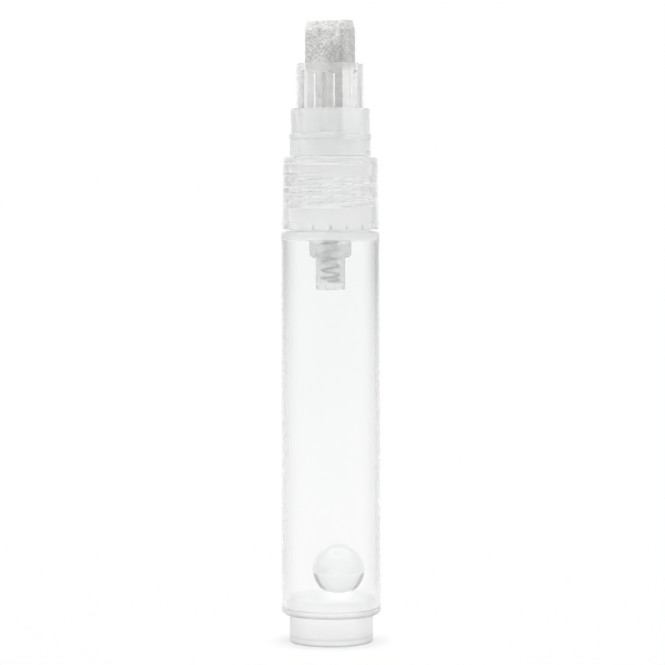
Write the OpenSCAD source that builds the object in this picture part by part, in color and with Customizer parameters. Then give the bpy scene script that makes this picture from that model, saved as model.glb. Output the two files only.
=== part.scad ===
// Empty refillable pump marker. A clear barrel with a loose mixing ball is closed by a footed plug below
// and by a valve head above, which a captive collar screws down on the neck. Pressing the chisel nib opens
// the valve. All sizes are in millimetres. The origin is the centre of the foot's underside, +Z up.

/* [End plug] */
// Outside diameter of the foot
foot_d = 17.8; // [15:0.1:19]
// Height of the foot below the flange
foot_h = 5.95; // [3:0.05:9]
// Wall of the foot
foot_wall = 1.1; // [0.8:0.05:2]
// Radius that eases the foot's lower outer edge
foot_ease = 0.3; // [0.1:0.05:0.5]
// Height of the flared inner edge at the foot's mouth
foot_flare_h = 1.2; // [0.5:0.1:2.5]
// How far that inner edge flares outwards
foot_flare = 0.4; // [0.1:0.05:0.6]
// Thickness of the flange below the barrel
flange_t = 1.5; // [1:0.1:2.5]
// Radius of the flange's lower edge
flange_ease = 1.1; // [0.3:0.1:1.3]
// Height of the spigot inside the barrel
spigot_h = 2.4; // [1.8:0.1:8]
// Thickness of the plug's closed top
plug_floor_t = 1.2; // [0.8:0.1:2]

/* [Barrel] */
// Outside diameter of the barrel at its lower end
barrel_d = 21.2; // [20:0.1:26]
// How much narrower the barrel is at its shoulder
barrel_draft = 0.3; // [0.1:0.05:0.6]
// Wall of the barrel at its lower end
barrel_wall = 1.1; // [0.8:0.05:1.4]
// Length of the barrel up to the top of its shoulder
barrel_h = 80.5; // [50:0.1:120]
// Thickness of the shoulder
shoulder_t = 1.1; // [0.9:0.1:2.5]
// Radius of the shoulder's outer edge
shoulder_ease = 0.5; // [0.2:0.05:0.8]

/* [Neck] */
// Diameter of the neck midway between the crest and root of its thread
neck_d = 17.2; // [16.4:0.1:18.4]
// Wall of the neck
neck_wall = 1.2; // [0.9:0.05:1.6]
// Height of the neck above the shoulder
neck_h = 13.1; // [11:0.1:18]
// Thickness of the gasket on the neck's mouth
gasket_t = 0.6; // [0.4:0.1:1.2]
// How far the gasket stands in from the flange's edge
gasket_inset = 0.5; // [0.3:0.05:0.8]

/* [Screw collar] */
// How far the collar's lower band stands in from the barrel's shoulder
collar_step = 0.1; // [0:0.05:0.4]
// How much wider the collar is at its lower band
collar_draft = 0.4; // [0.1:0.05:0.8]
// Thickness of the lip that holds the valve head down
lip_t = 1.4; // [1:0.1:2.5]
// Radius of the lip's outer edge
lip_ease = 0.6; // [0.2:0.1:0.9]
// Height of the band at the collar's lower edge
collar_band_h = 1.4; // [0.8:0.1:2.5]
// How far the band stands out from the collar
collar_band_out = 0.1; // [0.05:0.05:0.3]
// Height of the relief below the collar's thread
collar_relief_h = 4.4; // [2:0.1:6]
// Wall of the collar round that relief
collar_relief_wall = 0.95; // [0.7:0.05:1.3]
// Gap between the collar and the barrel's shoulder
collar_gap = 0.5; // [0.2:0.1:1]
// Radial clearance of the thread
thread_clear = 0.1; // [0.05:0.05:0.2]

/* [Valve head] */
// Thickness of the flange under the collar's lip
head_flange_t = 0.8; // [0.6:0.1:1.6]
// How far the collar's lip reaches over the flange
lip_grip = 0.5; // [0.3:0.05:0.7]
// Play of the collar's lip in its groove, and its radial clearance
lip_play = 0.15; // [0.05:0.05:0.3]
// Height of the wide band above the collar
head_band_h = 3.4; // [2:0.1:5]
// How far the wide band stands out from the cap seat
head_band_out = 0.2; // [0.1:0.05:0.5]
// Height of the snap bead
bead_h = 1.4; // [1:0.1:2.4]
// How far the snap bead stands out from the cap seat
bead_out = 0.35; // [0.2:0.05:0.6]
// Height of the cap seat
seat_h = 5.35; // [4:0.05:9]
// Radius of the cap seat's top edge
seat_ease = 0.35; // [0.1:0.05:0.5]
// Wall of the cap seat round the nib sleeve
head_wall = 1.25; // [1:0.05:1.8]
// Depth of the socket for the nib sleeve
socket_h = 9; // [7:0.1:10]
// Radial clearance of the seal skirt in the neck
skirt_clear = 0.1; // [0.05:0.05:0.2]
// Wall of the seal skirt
skirt_wall = 1; // [0.7:0.05:1.3]
// Depth of the seal skirt below the flange
skirt_h = 9.9; // [6:0.1:12]
// Thickness of the web with the valve seat
web_t = 2; // [1.2:0.1:3]
// Bore of the valve tube
tube_bore = 7; // [6.4:0.1:7.8]
// Wall of the valve tube
tube_wall = 1; // [0.8:0.05:1.4]
// Length of the valve tube below the web
tube_h = 17.7; // [15:0.1:22]
// Chamfer at the valve tube's lower edge
tube_chamfer = 0.6; // [0.2:0.1:0.7]

/* [Nib and sleeve] */
// Width of the nib
nib_w = 10; // [8:0.1:11]
// Thickness of the nib
nib_t = 4.5; // [3:0.1:6]
// Height of the nib above its sleeve
nib_out = 9.15; // [5:0.05:14]
// Height of the bevels at the nib's tip
bevel_h = 2; // [1:0.1:4]
// Depth of each bevel
bevel_depth = 0.9; // [0.4:0.1:1.3]
// Clearance between the nib and the ribs
nib_clear = 0.12; // [0.05:0.01:0.3]
// Gap between the nib's corners and the sleeve
corner_gap = 0.667; // [0.3:0.001:1.2]
// Wall of the sleeve
sleeve_wall = 1; // [0.7:0.05:1.4]
// Height of the sleeve above the valve head
sleeve_out = 9.5; // [6:0.1:14]
// Radius of the sleeve's rim
sleeve_ease = 0.3; // [0.1:0.05:0.4]
// Distance between the two ribs on a broad side of the nib
rib_spacing = 5; // [3:0.1:6]
// Thickness of a rib
rib_t = 0.8; // [0.5:0.05:1.2]
// Depth of the ribs' upper ends below the sleeve's rim
rib_drop = 1.5; // [0.8:0.1:3]
// Height of the sloped lead-in at a rib's upper end
rib_lead = 0.8; // [0.3:0.1:1.5]

/* [Valve] */
// How far the nib is pressed in to open the valve
press_travel = 3; // [2:0.1:4]
// Diameter of the plate under the nib
plate_d = 9.6; // [8:0.1:10.4]
// Thickness of the plate
plate_t = 1.2; // [0.8:0.1:1.6]
// Gap above, below and inside the plate's moving parts
plate_gap = 0.6; // [0.4:0.1:1]
// Width of the flow slots in the plate
plate_slot_w = 1.6; // [1:0.1:2.2]
// Number of flow slots in the plate
plate_slots = 4; // [2:1:6]
// Diameter of the stem
stem_d = 3.4; // [2.4:0.1:4]
// Radial flow gap round the stem in the valve seat
seat_gap = 0.6; // [0.3:0.05:0.9]
// Radial flow gap round the plunger's head in the valve tube
head_gap = 0.4; // [0.2:0.05:0.6]
// Thickness of the plunger's seal
seal_t = 1.2; // [0.8:0.1:2]
// Thickness of the plunger's head
plunger_head_t = 1.5; // [1:0.1:2.5]
// Length of the plunger's body above the spring
plunger_body_h = 10.6; // [6:0.1:11]

/* [Spring and cage] */
// Outside diameter of the spring
spring_d = 4.3; // [3.6:0.1:4.8]
// Diameter of the spring's wire
spring_wire = 0.6; // [0.4:0.05:0.7]
// Turns between the spring's end turns
spring_turns = 4; // [3:1:6]
// Pitch of the two end turns
spring_end_pitch = 0.8; // [0.75:0.05:1.4]
// Direction of the wire's lower end, in degrees from the X axis
spring_start = 290; // [0:1:359]
// Clearance of the spring round its guide pin and in its cage
spring_clear = 0.25; // [0.15:0.05:0.4]
// Wall of the cage
cage_wall = 0.75; // [0.5:0.05:1]
// Height of the cage below the valve tube
cage_h = 6.9; // [5:0.1:10]
// Depth of the cage's spigot in the valve tube
cage_spigot_h = 2.8; // [2:0.1:5]
// Radius of the cage's lower edge
cage_ease = 0.4; // [0.2:0.05:0.6]
// Thickness of the cage's floor
cage_floor_t = 1.4; // [0.8:0.1:2]
// Diameter of the drain in the cage's floor
drain_d = 1.8; // [1:0.1:2.4]

/* [Mixing ball] */
// Diameter of the ball
ball_d = 11.1; // [8:0.1:13]
// Distance of the resting ball from the axis
ball_offset = 1.6; // [0:0.1:2.5]
// Direction of that offset, in degrees from the X axis
ball_turn = 35; // [0:1:359]

/* [Hidden] */
$fn = 96;

clear_plastic = [0.88, 0.90, 0.90, 0.45];
milky_plastic = [0.90, 0.91, 0.91, 0.85];
felt_grey = [0.78, 0.78, 0.77];
pale_rubber = [0.93, 0.93, 0.91];
steel_grey = [0.55, 0.56, 0.58];
ball_glass = [0.80, 0.86, 0.84, 0.5];

// How far a cut runs past the face that it opens
cut_run = 0.2;

// Heights along the axis, from the foot up to the nib
z_barrel = foot_h + flange_t;
z_floor = z_barrel + spigot_h;
z_shoulder = z_barrel + barrel_h;
z_neck = z_shoulder + neck_h;
z_head_flange = z_neck + gasket_t;
z_lip = z_head_flange + head_flange_t;
z_lip_top = z_lip + lip_t;
z_head_band = z_lip_top + lip_play;
z_bead = z_head_band + head_band_h;
z_seat = z_bead + bead_h;
z_head_top = z_seat + seat_h;
z_sleeve_top = z_head_top + sleeve_out;
z_nib_top = z_sleeve_top + nib_out;
z_socket = z_head_top - socket_h;

// Heights along the axis, from the plate under the nib down to the cage
z_plate = z_socket + plate_gap;
z_nib = z_plate + plate_t;
z_web_top = z_plate - press_travel - plate_gap;
z_web = z_web_top - web_t;
z_plunger_head = z_web - seal_t;
z_plunger_body = z_plunger_head - plunger_head_t;
z_spring_top = z_plunger_body - plunger_body_h;
z_tube = z_web - tube_h;
z_cage = z_tube - cage_h;
z_spring = z_cage + cage_floor_t;
z_plunger_tip = z_spring + press_travel + plate_gap;

// Diameters of pieces that fit one another
chamber_d = barrel_d - 2 * barrel_wall;
neck_bore = neck_d - 2 * neck_wall;
collar_bore = neck_d + 2 * thread_clear;
collar_band_d = barrel_d - barrel_draft - 2 * collar_step;
collar_low_d = collar_band_d - 2 * collar_band_out;
collar_d = collar_low_d - collar_draft;
lip_hole = neck_d - 2 * lip_grip;
groove_d = lip_hole - 2 * lip_play;
sleeve_bore = norm([nib_w, nib_t]) + 2 * corner_gap;
sleeve_d = sleeve_bore + 2 * sleeve_wall;
seat_d = sleeve_d + 2 * head_wall;
skirt_d = neck_bore - 2 * skirt_clear;
tube_d = tube_bore + 2 * tube_wall;
seal_d = tube_bore - 2 * head_gap;
spring_r = (spring_d - spring_wire) / 2;
pin_d = spring_d - 2 * spring_wire - 2 * spring_clear;
cage_bore = spring_d + 2 * spring_clear;
cage_d = cage_bore + 2 * cage_wall;

// The spring's centre line: two end turns and an even pitch between them
spring_sides = 6;
spring_rings = 8;
spring_all_turns = spring_turns + 2;
spring_low = z_spring + spring_wire / 2;
spring_rise = z_spring_top - z_spring - spring_wire;
spring_pitch = (spring_rise - 2 * spring_end_pitch) / spring_turns;

function spring_z(turn) =
    turn < 1 ? spring_low + turn * spring_end_pitch
    : turn < spring_turns + 1 ? spring_low + spring_end_pitch + (turn - 1) * spring_pitch
    : spring_low + spring_rise - (spring_all_turns - turn) * spring_end_pitch;

function spring_angle(turn) = spring_start + 360 * turn;

function spring_point(turn) =
    [spring_r * cos(spring_angle(turn)), spring_r * sin(spring_angle(turn)), spring_z(turn)];

// One ring of the wire, square to the helix
function spring_ring(turn) =
    let (
        centre = spring_point(turn),
        outward = [cos(spring_angle(turn)), sin(spring_angle(turn)), 0],
        rise = turn < 1 || turn > spring_turns + 1 ? spring_end_pitch : spring_pitch,
        along = [-outward.y * 2 * PI * spring_r, outward.x * 2 * PI * spring_r, rise],
        upward = cross(outward, along) / norm(along)
    )
    [for (side = [0 : spring_sides - 1])
        let (angle = 360 * side / spring_sides)
        centre + spring_wire / 2 * (cos(angle) * outward + sin(angle) * upward)];

spring_steps = spring_all_turns * spring_rings;
spring_line = [for (step = [0 : spring_steps]) spring_point(step / spring_rings)];
spring_least_gap = min([for (a = [0 : spring_steps], b = [a + spring_rings / 2 : 1 : spring_steps])
    norm(spring_line[a] - spring_line[b])]) - spring_wire;
echo(spring_least_gap = spring_least_gap);

// A cylinder with a rounded top edge
module eased_cylinder(d, h, ease) {
    rotate_extrude() {
        square([d / 2 - ease, h]);
        square([d / 2, h - ease]);
        translate([d / 2 - ease, h - ease]) circle(ease);
    }
}

// A cylinder with a rounded bottom edge
module eased_base(d, h, ease) {
    rotate_extrude() {
        square([d / 2 - ease, h]);
        translate([0, ease]) square([d / 2, h - ease]);
        translate([d / 2 - ease, ease]) circle(ease);
    }
}

// A tool for a round cut that runs past both of its ends
module bore(d, z_low, z_high) {
    translate([0, 0, z_low - cut_run]) cylinder(h = z_high - z_low + 2 * cut_run, d = d);
}

// A tool for a round cut with a closed end above
module blind_bore_up(d, z_low, z_high) {
    translate([0, 0, z_low - cut_run]) cylinder(h = z_high - z_low + cut_run, d = d);
}

// A tool for a round cut with a closed end below
module blind_bore_down(d, z_low, z_high) {
    translate([0, 0, z_low]) cylinder(h = z_high - z_low + cut_run, d = d);
}

module ring(d_outer, d_inner, z_low, z_high) {
    difference() {
        translate([0, 0, z_low]) cylinder(h = z_high - z_low, d = d_outer);
        bore(d_inner, z_low, z_high);
    }
}

module barrel() {
    color(clear_plastic) difference() {
        union() {
            translate([0, 0, z_barrel])
                cylinder(h = barrel_h - shoulder_t, d1 = barrel_d, d2 = barrel_d - barrel_draft);
            translate([0, 0, z_shoulder - shoulder_t])
                eased_cylinder(barrel_d - barrel_draft, shoulder_t, shoulder_ease);
            translate([0, 0, z_shoulder - shoulder_t]) cylinder(h = shoulder_t + neck_h, d = neck_d);
        }
        blind_bore_up(chamber_d, z_barrel, z_shoulder - shoulder_t);
        bore(neck_bore, z_shoulder - shoulder_t, z_neck);
    }
}

module end_plug() {
    hollow_d = foot_d - 2 * foot_wall;
    color(clear_plastic) difference() {
        union() {
            eased_base(foot_d, z_barrel, foot_ease);
            translate([0, 0, foot_h]) eased_base(barrel_d, flange_t, flange_ease);
            translate([0, 0, foot_h + flange_ease]) cylinder(h = z_floor - foot_h - flange_ease, d = chamber_d);
        }
        blind_bore_up(hollow_d, 0, z_floor - plug_floor_t);
        cylinder(h = foot_flare_h, d1 = hollow_d + 2 * foot_flare, d2 = hollow_d);
    }
}

module mixing_ball() {
    color(ball_glass) rotate([0, 0, ball_turn]) translate([ball_offset, 0, z_floor + ball_d / 2])
        sphere(d = ball_d);
}

module neck_gasket() {
    color(pale_rubber) ring(neck_d - 2 * gasket_inset, neck_bore, z_neck, z_head_flange);
}

module valve_head() {
    color(milky_plastic) difference() {
        union() {
            head_outside();
            seal_skirt();
            tube_outside();
        }
        blind_bore_down(sleeve_d, z_socket, z_head_top);
        bore(sleeve_bore, z_web_top + cut_run, z_socket);
        bore(stem_d + 2 * seat_gap, z_web, z_web_top);
        blind_bore_up(tube_bore, z_tube, z_web);
    }
}

// Flange, groove for the collar's lip, wide band, snap bead and cap seat
module head_outside() {
    translate([0, 0, z_head_flange]) cylinder(h = head_flange_t, d = neck_d);
    translate([0, 0, z_head_flange]) cylinder(h = z_bead - z_head_flange, d = groove_d);
    translate([0, 0, z_head_band]) cylinder(h = head_band_h, d = seat_d + 2 * head_band_out);
    translate([0, 0, z_bead]) eased_cylinder(seat_d + 2 * bead_out, bead_h, bead_h / 4);
    translate([0, 0, z_bead]) eased_cylinder(seat_d, bead_h + seat_h, seat_ease);
}

// Skirt that seals in the neck, hollow below the web
module seal_skirt() {
    difference() {
        translate([0, 0, z_head_flange - skirt_h]) cylinder(h = skirt_h + head_flange_t, d = skirt_d);
        blind_bore_up(skirt_d - 2 * skirt_wall, z_head_flange - skirt_h, z_web);
    }
}

// Valve tube that hangs from the web, with a chamfered lower edge
module tube_outside() {
    translate([0, 0, z_tube + tube_chamfer]) cylinder(h = z_web_top - z_tube - tube_chamfer, d = tube_d);
    translate([0, 0, z_tube]) cylinder(h = tube_chamfer, d1 = tube_d - 2 * tube_chamfer, d2 = tube_d);
}

module screw_collar() {
    z_low = z_shoulder + collar_gap;
    color(clear_plastic) difference() {
        union() {
            translate([0, 0, z_low]) cylinder(h = z_lip - z_low, d1 = collar_low_d, d2 = collar_d);
            translate([0, 0, z_lip]) eased_cylinder(collar_d, lip_t, lip_ease);
            translate([0, 0, z_low]) eased_cylinder(collar_band_d, collar_band_h, collar_band_h / 3);
        }
        blind_bore_up(collar_bore, z_low, z_lip);
        blind_bore_up(collar_low_d - 2 * collar_relief_wall, z_low, z_low + collar_relief_h);
        bore(lip_hole, z_lip, z_lip_top);
    }
}

module nib_sleeve() {
    color(clear_plastic) difference() {
        translate([0, 0, z_socket]) eased_cylinder(sleeve_d, z_sleeve_top - z_socket, sleeve_ease);
        bore(sleeve_bore, z_socket, z_sleeve_top);
    }
    color(clear_plastic) intersection() {
        sleeve_ribs();
        translate([0, 0, z_socket]) cylinder(h = z_sleeve_top - z_socket, d = sleeve_bore + sleeve_wall);
    }
}

// Ribs that hold the nib: two on each broad side and one on each narrow side
module sleeve_ribs() {
    for (half_turn = [0, 180]) rotate([0, 0, half_turn]) {
        for (side = [-1, 1]) translate([side * rib_spacing / 2, nib_t / 2 + nib_clear, 0]) rib();
        rotate([0, 0, 90]) translate([0, nib_w / 2 + nib_clear, 0]) rib();
    }
}

// One rib, with a slope at its upper end that leads the nib in
module rib() {
    z_low = z_nib + plate_gap;
    z_high = z_sleeve_top - rib_drop;
    translate([-rib_t / 2, 0, 0]) rotate([90, 0, 90]) linear_extrude(rib_t) polygon([
        [0, z_low], [sleeve_d, z_low], [sleeve_d, z_high], [rib_lead, z_high], [0, z_high - rib_lead]
    ]);
}

module nib() {
    color(felt_grey) rotate([90, 0, 90]) translate([0, 0, -nib_w / 2]) linear_extrude(nib_w) polygon([
        [-nib_t / 2, z_nib], [nib_t / 2, z_nib],
        [nib_t / 2, z_nib_top - bevel_h], [nib_t / 2 - bevel_depth, z_nib_top],
        [-nib_t / 2 + bevel_depth, z_nib_top], [-nib_t / 2, z_nib_top - bevel_h]
    ]);
}

module valve_plunger() {
    color(milky_plastic) difference() {
        union() {
            translate([0, 0, z_plate]) cylinder(h = plate_t, d = plate_d);
            translate([0, 0, z_plunger_head]) cylinder(h = z_nib - z_plunger_head, d = stem_d);
            translate([0, 0, z_plunger_body]) cylinder(h = plunger_head_t, d = seal_d);
            translate([0, 0, z_spring_top]) cylinder(h = plunger_body_h, d = spring_d);
            translate([0, 0, z_plunger_tip]) cylinder(h = z_plunger_body - z_plunger_tip, d = pin_d);
        }
        for (slot = [1 : plate_slots]) rotate([0, 0, 360 * slot / plate_slots])
            translate([stem_d / 2 + plate_gap, -plate_slot_w / 2, z_plate - cut_run])
                cube([plate_d, plate_slot_w, plate_t + 2 * cut_run]);
    }
}

module plunger_seal() {
    color(pale_rubber) ring(seal_d, stem_d, z_plunger_head, z_web);
}

module valve_spring() {
    rings = [for (step = [0 : spring_steps]) each spring_ring(step / spring_rings)];
    last = spring_steps * spring_sides;
    sides = [for (step = [0 : spring_steps - 1], side = [0 : spring_sides - 1])
        let (
            low = step * spring_sides,
            high = low + spring_sides,
            next = (side + 1) % spring_sides
        )
        each [[low + side, high + side, high + next], [low + side, high + next, low + next]]];
    start = [for (side = [1 : spring_sides - 2]) [0, side, side + 1]];
    end = [for (side = [1 : spring_sides - 2]) [last, last + side + 1, last + side]];
    color(steel_grey) polyhedron(points = rings, faces = concat(sides, start, end));
}

module valve_cage() {
    color(milky_plastic) difference() {
        union() {
            translate([0, 0, z_cage]) eased_base(cage_d, cage_h, cage_ease);
            translate([0, 0, z_tube]) cylinder(h = cage_spigot_h, d = tube_bore);
        }
        blind_bore_down(cage_bore, z_spring, z_tube + cage_spigot_h);
        bore(drain_d, z_cage, z_spring);
    }
}

barrel();
end_plug();
mixing_ball();
neck_gasket();
valve_head();
screw_collar();
nib_sleeve();
nib();
valve_plunger();
plunger_seal();
valve_spring();
valve_cage();
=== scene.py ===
"""Looks of an empty pump marker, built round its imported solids.

Sizes are in millimetres until a mesh or a material turns them into metres.
"""
import math
import random

import bmesh
import bpy
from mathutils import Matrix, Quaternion, Vector, noise


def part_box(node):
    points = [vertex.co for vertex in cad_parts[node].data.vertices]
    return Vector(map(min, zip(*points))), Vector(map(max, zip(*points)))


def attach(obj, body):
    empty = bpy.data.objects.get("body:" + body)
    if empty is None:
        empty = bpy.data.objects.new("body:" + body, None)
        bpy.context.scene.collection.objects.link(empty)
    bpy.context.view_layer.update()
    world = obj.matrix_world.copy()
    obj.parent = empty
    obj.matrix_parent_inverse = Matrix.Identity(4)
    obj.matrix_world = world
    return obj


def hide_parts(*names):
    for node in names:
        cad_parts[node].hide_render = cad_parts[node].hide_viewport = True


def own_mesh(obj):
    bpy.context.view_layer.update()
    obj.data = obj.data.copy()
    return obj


MM = 0.001
TAU = 2 * math.pi
TINY = 1e-6
SEGMENTS = 192
SHARP_ANGLE = math.radians(32)
SUPPORT = 0.06
LONG_STRAIGHT = 4 * SUPPORT

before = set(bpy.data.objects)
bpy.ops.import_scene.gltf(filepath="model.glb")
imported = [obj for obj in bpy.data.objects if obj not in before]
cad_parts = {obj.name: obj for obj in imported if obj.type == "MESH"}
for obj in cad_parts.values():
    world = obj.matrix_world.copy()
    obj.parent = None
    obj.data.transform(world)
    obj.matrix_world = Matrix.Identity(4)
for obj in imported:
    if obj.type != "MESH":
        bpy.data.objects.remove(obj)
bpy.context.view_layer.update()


# Frame sizes

def heights(node):
    """Lowest and highest point of a CAD node."""
    low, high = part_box(node)
    return low.z / MM, high.z / MM


def radius(node):
    """Reach of a CAD node along X: the largest radius of a turned one, half the width of the nib."""
    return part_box(node)[1].x / MM


z_barrel, z_neck = heights("barrel")
z_floor = heights("end_plug")[1]
z_gasket, z_head_flange = heights("neck_gasket")
z_tube, z_head_top = heights("valve_head")
z_collar, z_collar_top = heights("screw_collar")
z_socket, z_sleeve_top = heights("nib_sleeve")
z_nib, z_nib_top = heights("nib")
z_plunger_head, z_web = heights("plunger_seal")
z_cage, z_cage_top = heights("valve_cage")
z_spring, z_spring_top = heights("valve_spring")

barrel_r = radius("barrel")
collar_r = radius("screw_collar")
sleeve_r = radius("nib_sleeve")
nib_half_w = radius("nib")
nib_half_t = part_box("nib")[1].y / MM
gasket_r = radius("neck_gasket")
seal_r = radius("plunger_seal")
tube_bore_r = radius("valve_cage")

# Clearances, and the travel of the pressed nib
FIT_GAP = 0.05
PRESS_GAP = 0.02
COLLAR_GAP = 0.5
LIP_GAP = 0.15
PRESS = 3.0

# Edge roundings, from crisp to broad
CRISP_EASE = 0.02
KEEN_EASE = 0.05
FINE_EASE = 0.1
LIP_EASE = 0.12
SMALL_EASE = 0.15
SOFT_EASE = 0.2
MEDIUM_EASE = 0.25
ROUND_EASE = 0.3
FULL_EASE = 0.35
WIDE_EASE = 0.4
BROAD_EASE = 0.5
COLLAR_TOP_EASE = 0.6
SPIGOT_EASE = 0.9
FLANGE_EASE = 1.1
HOLLOW_EASE = 1.5
EASE_STEPS = 5
PLUG_EASE_STEPS = 8

# Barrel and end plug
BARREL_DRAFT = 0.15
BARREL_WALL = 1.1
SHOULDER_T = 1.1
NECK_BORE_R = 7.4
FOOT_R = 8.9
FOOT_H = 5.95
FOOT_HOLLOW_R = 7.8
FOOT_FLARE_R = 8.2
FOOT_FLARE_H = 1.2
PLUG_FLOOR_T = 1.2

# Valve head
SKIRT_R = 7.3
SKIRT_WALL = 1.0
SKIRT_H = 9.9
FLANGE_R = 8.6
GROOVE_R = 7.95
SEAT_R = 8.4
SEAT_H = 5.35
BEAD_H = 1.4
BEAD_OUT = 0.35
BEAD_ROOT = 0.12
BEAD_LOW = 0.35
BEAD_HIGH = 0.25
BEAD_END = 0.1
BAND_OUT = 0.2
BAND_H = 3.4
WEB_T = 2.0
SEAT_HOLE_R = 2.3
TUBE_WALL = 1.0
TUBE_CHAMFER = 0.6

# Sleeve, plunger and cage
SLEEVE_WALL = 1.0
STEM_R = 1.7
CAGE_WALL = 0.75
CAGE_STEP = 0.35
CAGE_FLOOR_T = 1.4
DRAIN_R = 0.9

# Collar
LIP_T = 1.4
COLLAR_BAND_H = 1.4
COLLAR_BAND_OUT = 0.1
COLLAR_BAND_SLOPE = 0.3
COLLAR_TAPER = 0.3

z_shoulder = z_collar - COLLAR_GAP
z_lip = z_collar_top - LIP_T
chamber_r = barrel_r - BARREL_WALL
sleeve_bore_r = sleeve_r - SLEEVE_WALL

# Thread on the neck and in the collar
THREAD_PITCH = 2.4
THREAD_ROOT_R = 8.4
THREAD_DEPTH = 0.4
THREAD_CLEAR = 0.12
THREAD_RUNOUT = 0.9
THREAD_FLANK = 0.22
THREAD_STEPS = 24
THREAD_START = 4.9
THREAD_END = 0.6
COLLAR_BORE_R = THREAD_ROOT_R + THREAD_DEPTH + THREAD_CLEAR
z_thread_low = z_shoulder + THREAD_START
z_thread_high = z_neck - THREAD_END


# Mesh helpers

def rounded(corners, steps=EASE_STEPS):
    """Closed outline with its corners rounded. A corner is (radius, height) or (radius, height, rounding)."""
    points = []
    for index, corner in enumerate(corners):
        here = Vector(corner[:2])
        size = corner[2] if len(corner) > 2 else 0
        if not size:
            points.append(tuple(here))
            continue
        before = (Vector(corners[index - 1][:2]) - here).normalized()
        after = (Vector(corners[(index + 1) % len(corners)][:2]) - here).normalized()
        opening = before.angle(after)
        reach = size / math.tan(opening / 2)
        middle = (before + after).normalized()
        centre = here + middle * size / math.sin(opening / 2)
        first = here + before * reach - centre
        last = here + after * reach - centre
        for step in range(steps + 1):
            arm = first.slerp(last, step / steps)
            points.append(tuple(centre + arm.normalized() * size))
    return points


def new_object(name, mesh_data, body, material):
    """Puts a bmesh in the scene in metres, riding on a body, with its material."""
    mesh = bpy.data.meshes.new(name)
    bmesh.ops.scale(mesh_data, vec=(MM, MM, MM), verts=mesh_data.verts)
    bmesh.ops.recalc_face_normals(mesh_data, faces=mesh_data.faces)
    mesh_data.to_mesh(mesh)
    mesh_data.free()
    mesh.shade_smooth()
    mesh.set_sharp_from_angle(angle=SHARP_ANGLE)
    mesh.materials.append(material)
    piece = bpy.data.objects.new(name, mesh)
    bpy.context.scene.collection.objects.link(piece)
    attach(piece, body)
    return piece


def bridge(mesh_data, low, high):
    """Faces between two closed rings of vertices, either of which may be one point."""
    count = max(len(low), len(high))
    if count == 1:
        return
    for k in range(count):
        n = (k + 1) % count
        if len(low) == 1:
            mesh_data.faces.new((low[0], high[n], high[k]))
        elif len(high) == 1:
            mesh_data.faces.new((low[k], low[n], high[0]))
        else:
            mesh_data.faces.new((low[k], low[n], high[n], high[k]))


def supported(outline):
    """Adds a point near both ends of each longer straight, so that the shading of a wall stays straight."""
    points = []
    for here, there in zip(outline, outline[1:] + outline[:1]):
        points.append(here)
        start = Vector(here)
        way = Vector(there) - start
        if way.length > LONG_STRAIGHT:
            points.append(tuple(start + way.normalized() * SUPPORT))
            points.append(tuple(start + way - way.normalized() * SUPPORT))
    return points


def turned(outline, wave=None):
    """A bmesh turned about the axis from a closed outline. wave(r, z, angle) may change a point's radius."""
    mesh_data = bmesh.new()
    rings = []
    for r, z in supported(outline):
        if r < TINY:
            rings.append([mesh_data.verts.new((0, 0, z))])
            continue
        ring = []
        for k in range(SEGMENTS):
            angle = TAU * k / SEGMENTS
            turned_r = wave(r, z, angle) if wave else r
            ring.append(mesh_data.verts.new((turned_r * math.cos(angle), turned_r * math.sin(angle), z)))
        rings.append(ring)
    for low, high in zip(rings, rings[1:] + rings[:1]):
        bridge(mesh_data, low, high)
    return mesh_data


def smooth(share):
    """Eases a share from 0 to 1."""
    share = min(1.0, max(0.0, share))
    return share * share * (3 - 2 * share)


def thread_crest(z, angle):
    """1 on the crest and 0 in the root of a right-handed trapezoid thread."""
    phase = ((z - z_thread_low) / THREAD_PITCH - angle / TAU) % 1.0
    return smooth((abs(2 * phase - 1) - 0.5) / THREAD_FLANK + 0.5)


def thread_fade(z):
    """1 along the thread, falling to 0 at both of its ends."""
    return smooth((z - z_thread_low) / THREAD_RUNOUT) * smooth((z_thread_high - z) / THREAD_RUNOUT)


def thread_heights():
    """Heights along the thread, from low to high."""
    count = round((z_thread_high - z_thread_low) / THREAD_PITCH * THREAD_STEPS)
    return [z_thread_low + (z_thread_high - z_thread_low) * k / count for k in range(count + 1)]


# Node helpers

NOISE_LOW = 0.2
NOISE_HIGH = 0.8

# Sockets of a Mix node by number: its colours, its mixed colour, and its factor with its numbers
MIX_COLOURS_IN = (6, 7)
MIX_COLOUR_OUT = 2
MIX_NUMBERS_IN = (0, 2, 3)


def shader(name):
    """A new material with its node tree and Principled shader."""
    material = bpy.data.materials.new(name)
    material.use_nodes = True
    tree = material.node_tree
    return material, tree, tree.nodes["Principled BSDF"]


def ramp(tree, value, start, end, low=0.0, high=1.0):
    """Eases from one value to another while the input goes from start to end."""
    span = tree.nodes.new("ShaderNodeMapRange")
    span.interpolation_type = "SMOOTHSTEP"
    span.inputs["From Min"].default_value = start
    span.inputs["From Max"].default_value = end
    span.inputs["To Min"].default_value = low
    span.inputs["To Max"].default_value = high
    tree.links.new(value, span.inputs["Value"])
    return span.outputs["Result"]


def calculate(tree, operation, first, second=0):
    """One sum, product or the like of two node values or numbers."""
    node = tree.nodes.new("ShaderNodeMath")
    node.operation = operation
    for socket, value in zip(node.inputs, (first, second)):
        if isinstance(value, (int, float)):
            socket.default_value = value
        else:
            tree.links.new(value, socket)
    return node.outputs[0]


def product(tree, first, *others):
    """Product of node values and numbers."""
    for value in others:
        first = calculate(tree, "MULTIPLY", first, value)
    return first


def total(tree, first, *others):
    """Sum of node values and numbers."""
    for value in others:
        first = calculate(tree, "ADD", first, value)
    return first


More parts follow.
